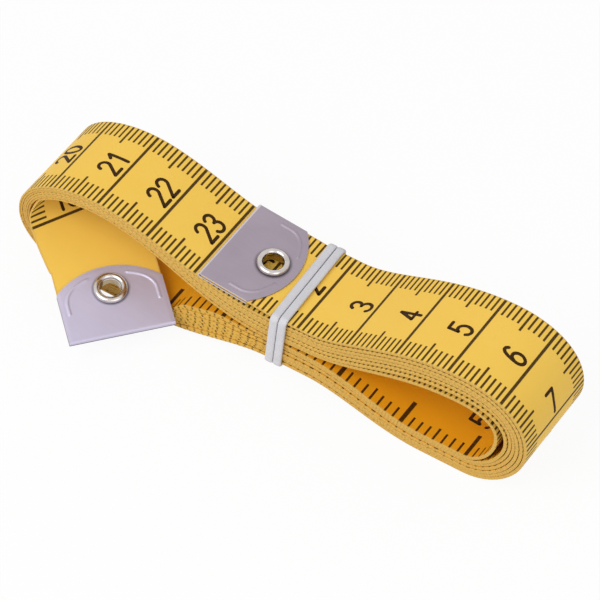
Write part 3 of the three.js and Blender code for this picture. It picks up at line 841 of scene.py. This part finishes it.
def endClip(name, which, axes, body):
    rib = ribLine()
    shape = bmesh.new()
    bmesh.ops.create_grid(shape, x_segments=clip["columns"], y_segments=clip["rows"], size=0.5)
    half = clip["half"]
    for vertex in shape.verts:
        y = vertex.co.x * clip["width"]
        share = vertex.co.y + 0.5
        archX = clipCentre + math.sqrt(clipRadius**2 - y * y)
        side = 1 if share < 0.5 else -1
        reach = min(share, 1 - share) / clip["leafShare"]
        if reach < 1:
            x = mixed(archX, half, reach)
            fromEdge = min(archX - x, clip["width"] / 2 - abs(y))
            fromRib = lineDistance(rib, x, abs(y))
            raised = clip["ribHeight"] * (1 - ease(fromRib, clip["ribFlat"], clip["ribHalf"]))
            z = side * (half + raised - clip["lip"] * (1 - ease(fromEdge, 0.0, clip["lipWide"])))
        else:
            turn = (share - clip["leafShare"]) / (1 - 2 * clip["leafShare"]) * math.pi
            x = half - half * math.sin(turn)
            z = half * math.cos(turn)
        vertex.co = (x, y, z)
    inHole = []
    for face in shape.faces:
        middle = face.calc_center_median()
        fromEyelet = math.hypot(middle.x - clip["eyelet"], middle.y)
        if middle.x > half + clip["foldSkin"] and fromEyelet < clip["hole"]:
            inHole.append(face)
    bmesh.ops.delete(shape, geom=inHole, context="FACES")
    for face in shape.faces:  # the fold gets painted shading, up to some height: a painted highlight on the outer clip, painted shade low on the inner
        middle = face.calc_center_median()
        face.material_index = 1 if middle.x < half and middle.z < clip[which + "FoldTop"] else 0
    bmesh.ops.recalc_face_normals(shape, faces=shape.faces)
    bmesh.ops.solidify(shape, geom=shape.faces[:], thickness=clip["sheet"])
    for face in shape.faces:  # and so do the cut sides
        if abs(face.calc_center_median().y) > clip["width"] / 2 - clip["sideSkin"]:
            face.material_index = 1
    setOnEnd(shape, axes, 0.0)
    piece = newPiece(name, shape, clipFinishes(which, axes), clip["sharp"])
    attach(piece, body)
    return piece


outerClip = endClip("outer_end_clip", "outer", outerAxes, "outer_end")
innerClip = endClip("inner_end_clip", "inner", innerAxes, "inner_end")
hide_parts("outer_clip")
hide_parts("inner_clip")
print("clips folded")

# rolled eyelets, spun round the hole
ring = {
    "hole": 1.76, "outerRim": 2.82, "innerRim": 2.96, "tube": 2.1, "seat": 0.55, "lip": 0.22, "rise": 0.60,
    "shoulder": 0.12, "curl": ((0.1, 0.14), (0.42, 0.1)), "flare": 0.1, "clear": 0.02, "shineWide": 0.3,
    "clinch": 0.22, "under": 2.62, "bulge": (0.07, 0.1), "foot": 0.2, "footShare": 0.6,
    "roll": 16, "steps": 72, "weld": 0.0005, "sharp": 40.0,
    "nickel": (rgb(0.65, 0.61, 0.59), rgb(0.41, 0.37, 0.36)),
    # painted shade for the bore, warmed as a painted reflection of the yellow tape
    "borePaintedShade": (rgb(0.42, 0.32, 0.20), rgb(0.25, 0.18, 0.10)),
}


def eyeletMetal(name, light, dark):
    finish = Finish(name)
    place = finish.make("ShaderNodeTexCoord", {}, {}, out=3)
    wear = finish.noise(place, 900.0, 4.0)
    colour = finish.colours(light, dark, (wear * 1.5 - 0.45).clamped())
    bump = finish.make("ShaderNodeBump", {}, {"Strength": 0.08, "Distance": 0.00003, "Height": wear})
    return finish.surface(Base_Color=colour, Metallic=1.0, Roughness=0.14 + wear * 0.14, Normal=bump)


def rolledEyelet(name, axes, rim, body):
    hole, seat = ring["hole"], ring["seat"]
    top, low = seat + ring["lip"], -seat - ring["clinch"]
    foot = -seat - ring["clinch"] * ring["footShare"]
    profile = [(hole, foot), (hole, 0.0), (hole, top - ring["shoulder"])]
    middle, wide = (hole + rim) / 2, (rim - hole) / 2
    for step in range(1, ring["roll"] + 1):
        turn = math.pi * (1 - step / ring["roll"])
        profile.append((middle + wide * math.cos(turn), top + ring["rise"] * math.sin(turn)))
    profile += [(rim - inward, top - down) for inward, down in ring["curl"]]
    tube, clear, under = ring["tube"], ring["clear"], ring["under"]
    profile += [(tube + ring["flare"], seat - clear), (tube, -seat + clear)]
    bulgeOut, bulgeDown = ring["bulge"]
    profile += [(under, -seat), (under + bulgeOut, -seat - bulgeDown), (under, low)]
    profile += [(hole + ring["foot"], low)]
    shape = bmesh.new()
    points = [shape.verts.new((radius, 0.0, height)) for radius, height in profile]
    edges = [shape.edges.new((a, b)) for a, b in zip(points, points[1:] + points[:1])]
    bmesh.ops.spin(
        shape, geom=points + edges, cent=(0, 0, 0), axis=(0, 0, 1), angle=2 * math.pi,
        steps=ring["steps"], use_merge=True)
    bmesh.ops.remove_doubles(shape, verts=shape.verts, dist=ring["weld"])
    bmesh.ops.recalc_face_normals(shape, faces=shape.faces)
    for face in shape.faces:  # the bore gets painted shade, warmed as a painted reflection of the tape
        spot = face.calc_center_median()
        inside = math.hypot(spot.x, spot.y) < rim - ring["shineWide"]
        face.material_index = 1 if inside and spot.z < top - clear else 0
    setOnEnd(shape, axes, clip["eyelet"])
    piece = newPiece(name, shape, nickel, ring["sharp"])
    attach(piece, body)
    return piece


nickel = [eyeletMetal("eyeletNickel", *ring["nickel"]), eyeletMetal("eyeletBorePaintedShade", *ring["borePaintedShade"])]
outerRing = rolledEyelet("outer_end_eyelet", outerAxes, ring["outerRim"], "outer_end")
innerRing = rolledEyelet("inner_end_eyelet", innerAxes, ring["innerRim"], "inner_end")
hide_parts("outer_eyelet")
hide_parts("inner_eyelet")
print("eyelets rolled")

# rubber band: one strand twice round the waist, crossing under it
band = {
    "middle": Vector((-2.3, 0.0, 9.97)), "lean": 6.0, "yaw": 1.9,
    "halfY": 9.47, "halfZ": 5.94, "corner": 0.9,
    "strandWide": 1.50, "strandThick": 0.66, "strandGap": 0.10, "squareness": (0.6, 0.7),
    "lift": 0.9, "crossing": 0.5, "cornerSteps": 10, "flatSteps": 16, "sectionSteps": 20,
    "white": rgb(0.655, 0.65, 0.68), "grey": rgb(0.50, 0.495, 0.535),
}


def bandRoute():
    halfY, halfZ, corner = band["halfY"], band["halfZ"], band["corner"]
    reach = halfY - corner
    loop = []
    steps = band["flatSteps"]
    for step in range(steps):
        loop.append((-reach * step / steps, -halfZ, 0.0, -1.0))
    for signY, signZ, start in ((-1, -1, 270), (-1, 1, 180), (1, 1, 90), (1, -1, 0)):
        for step in range(band["cornerSteps"] + 1):
            turn = math.radians(start - 90 * step / band["cornerSteps"])
            outY, outZ = math.cos(turn), math.sin(turn)
            y, z = signY * reach + corner * outY, signZ * (halfZ - corner) + corner * outZ
            loop.append((y, z, outY, outZ))
    for step in range(1, steps):
        loop.append((reach * (1 - step / steps), -halfZ, 0.0, -1.0))
    track = (band["strandWide"] + band["strandGap"]) / 2
    walk = []
    for lap in (1, -1):
        for index, (y, z, outY, outZ) in enumerate(loop):
            share = abs(y) / reach if outZ == -1.0 else 1.0
            lifted = (lap == 1) != (index < len(loop) / 2)
            rise = band["lift"] * (1 - ease(share, band["crossing"], 1.0)) if lifted else 0.0
            x = lap * track * ease(share, 0.0, band["crossing"])
            walk.append((Vector((x, y + outY * rise, z + outZ * rise)), Vector((0.0, outY, outZ))))
    return walk


def bandRubber():
    finish = Finish("bandRubber")
    place = finish.make("ShaderNodeTexCoord", {}, {}, out=3)
    dust = finish.noise(place, 1500.0, 4.0)
    slow = finish.noise(place, 180.0)
    grey = (slow * 0.9 + dust * 0.4 - 0.3).clamped()
    colour = finish.colours(band["white"], band["grey"], grey)
    bump = finish.make("ShaderNodeBump", {}, {"Strength": 0.25, "Distance": 0.00004, "Height": dust})
    return finish.surface(Base_Color=colour, Roughness=0.46 + dust * 0.16, Normal=bump)


def rubberBand():
    walk = bandRoute()
    slant = Matrix(((1.0, 0.0, math.tan(math.radians(band["lean"]))), (0.0, 1.0, 0.0), (0.0, 0.0, 1.0)))
    lean = Matrix.Rotation(math.radians(band["yaw"]), 3, "Z") @ slant
    shape = bmesh.new()
    rings = []
    count = band["sectionSteps"]
    sidePower, risePower = band["squareness"]
    for index, (middle, out) in enumerate(walk):
        run = walk[(index + 1) % len(walk)][0] - walk[index - 1][0]
        across = out.cross(run).normalized()
        section = []
        for step in range(count):
            turn = 2 * math.pi * step / count
            side, rise = math.cos(turn), math.sin(turn)
            side = math.copysign(abs(side) ** sidePower, side) * band["strandWide"] / 2
            rise = math.copysign(abs(rise) ** risePower, rise) * band["strandThick"] / 2
            point = lean @ (middle + across * side + out * rise) + band["middle"]
            section.append(shape.verts.new(placed(point)))
        rings.append(section)
    for here, there in zip(rings, rings[1:] + rings[:1]):
        for step in range(count):
            other = (step + 1) % count
            shape.faces.new((here[step], here[other], there[other], there[step])).smooth = True
    bmesh.ops.recalc_face_normals(shape, faces=shape.faces)
    piece = newPiece("band_strand", shape, [bandRubber()])
    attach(piece, "band")
    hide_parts("rubber_band")


rubberBand()
print("band stretched on")

# white table, soft light and the photograph's camera
studio = {
    "floorHalf": 1.5, "floorGlow": 0.93, "world": 0.58,
    "table": rgb(0.86, 0.86, 0.86), "white": rgb(1.0, 1.0, 1.0),
    "keyPower": 3.9, "keySize": 0.70, "keyPlace": (-0.21, -0.535, 0.62),
    "fillPower": 0.6, "fillSize": 0.5, "fillPlace": (0.50, -0.30, 0.35),
    "azimuth": 33.2, "elevation": 48.87, "distance": 644.0, "focal": 3911.0,
    "target": Vector((0.0, 0.0, 15.47)), "targetPixel": (317.0, 288.8), "frame": 600, "sensor": 36.0,
    "clipStart": 0.01,
}


# the rays that show the white background as it is
def shownRays(finish):
    kinds = ("Is Camera Ray", "Is Glossy Ray", "Is Transmission Ray")
    camera, glossy, through = (finish.make("ShaderNodeLightPath", out=kind) for kind in kinds)
    return camera.larger(glossy).larger(through)


def whiteTable():
    shape = bmesh.new()
    bmesh.ops.create_grid(shape, x_segments=1, y_segments=1, size=studio["floorHalf"])
    mesh = bpy.data.meshes.new("table")
    shape.to_mesh(mesh)
    shape.free()
    finish = Finish("tableWhite")
    share = shownRays(finish) * studio["floorGlow"]
    lit = finish.make("ShaderNodeBsdfDiffuse", {}, {"Color": studio["table"]})
    glow = finish.make("ShaderNodeEmission", {}, {"Color": studio["white"], "Strength": 1.0})
    both = finish.make("ShaderNodeMixShader", {}, {0: share, 1: lit, 2: glow})
    finish.make("ShaderNodeOutputMaterial", {}, {"Surface": both})
    mesh.materials.append(finish.material)
    table = bpy.data.objects.new("table", mesh)
    bpy.context.scene.collection.objects.link(table)


def softLamp(name, place, power, size):
    lamp = bpy.data.lights.new(name, "AREA")
    lamp.energy = power
    lamp.size = size
    lamp.shape = "DISK"
    holder = bpy.data.objects.new(name, lamp)
    holder.location = place
    holder.rotation_mode = "QUATERNION"
    holder.rotation_quaternion = (-Vector(place)).to_track_quat("-Z", "Y")
    bpy.context.scene.collection.objects.link(holder)


def skyLight():
    world = bpy.data.worlds.new("studioSky")
    sky = Finish("studioSky", world)
    plain = sky.make("ShaderNodeBackground", {}, {"Color": studio["white"], "Strength": studio["world"]})
    white = sky.make("ShaderNodeBackground", {}, {"Color": studio["white"], "Strength": 1.0})
    chosen = sky.make("ShaderNodeMixShader", {}, {0: shownRays(sky), 1: plain, 2: white})
    sky.make("ShaderNodeOutputWorld", {}, {"Surface": chosen})
    bpy.context.scene.world = world


def photoCamera():
    turn, tilt = math.radians(studio["azimuth"]), math.radians(studio["elevation"])
    back = Vector((math.sin(turn) * math.cos(tilt), -math.cos(turn) * math.cos(tilt), math.sin(tilt)))
    right = Vector((math.cos(turn), math.sin(turn), 0.0))
    up = back.cross(right)
    half = studio["frame"] / 2
    aside, below = half - studio["targetPixel"][0], half - studio["targetPixel"][1]
    look = (-back * studio["focal"] + right * aside - up * below).normalized()
    side = look.cross(up).normalized()
    top = side.cross(look)
    camera = bpy.data.objects.new("camera", bpy.data.cameras.new("camera"))
    camera.data.sensor_width = studio["sensor"]
    camera.data.lens = studio["focal"] / studio["frame"] * studio["sensor"]
    camera.data.clip_start = studio["clipStart"]
    spot = placed(studio["target"] + back * studio["distance"])
    camera.matrix_world = Matrix.Translation(spot) @ Matrix((side, top, -look)).transposed().to_4x4()
    bpy.context.scene.collection.objects.link(camera)
    bpy.context.scene.camera = camera


whiteTable()
softLamp("key", studio["keyPlace"], studio["keyPower"], studio["keySize"])
softLamp("fill", studio["fillPlace"], studio["fillPower"], studio["fillSize"])
skyLight()
photoCamera()
bpy.context.scene.view_settings.view_transform = "Standard"
print("studio set")
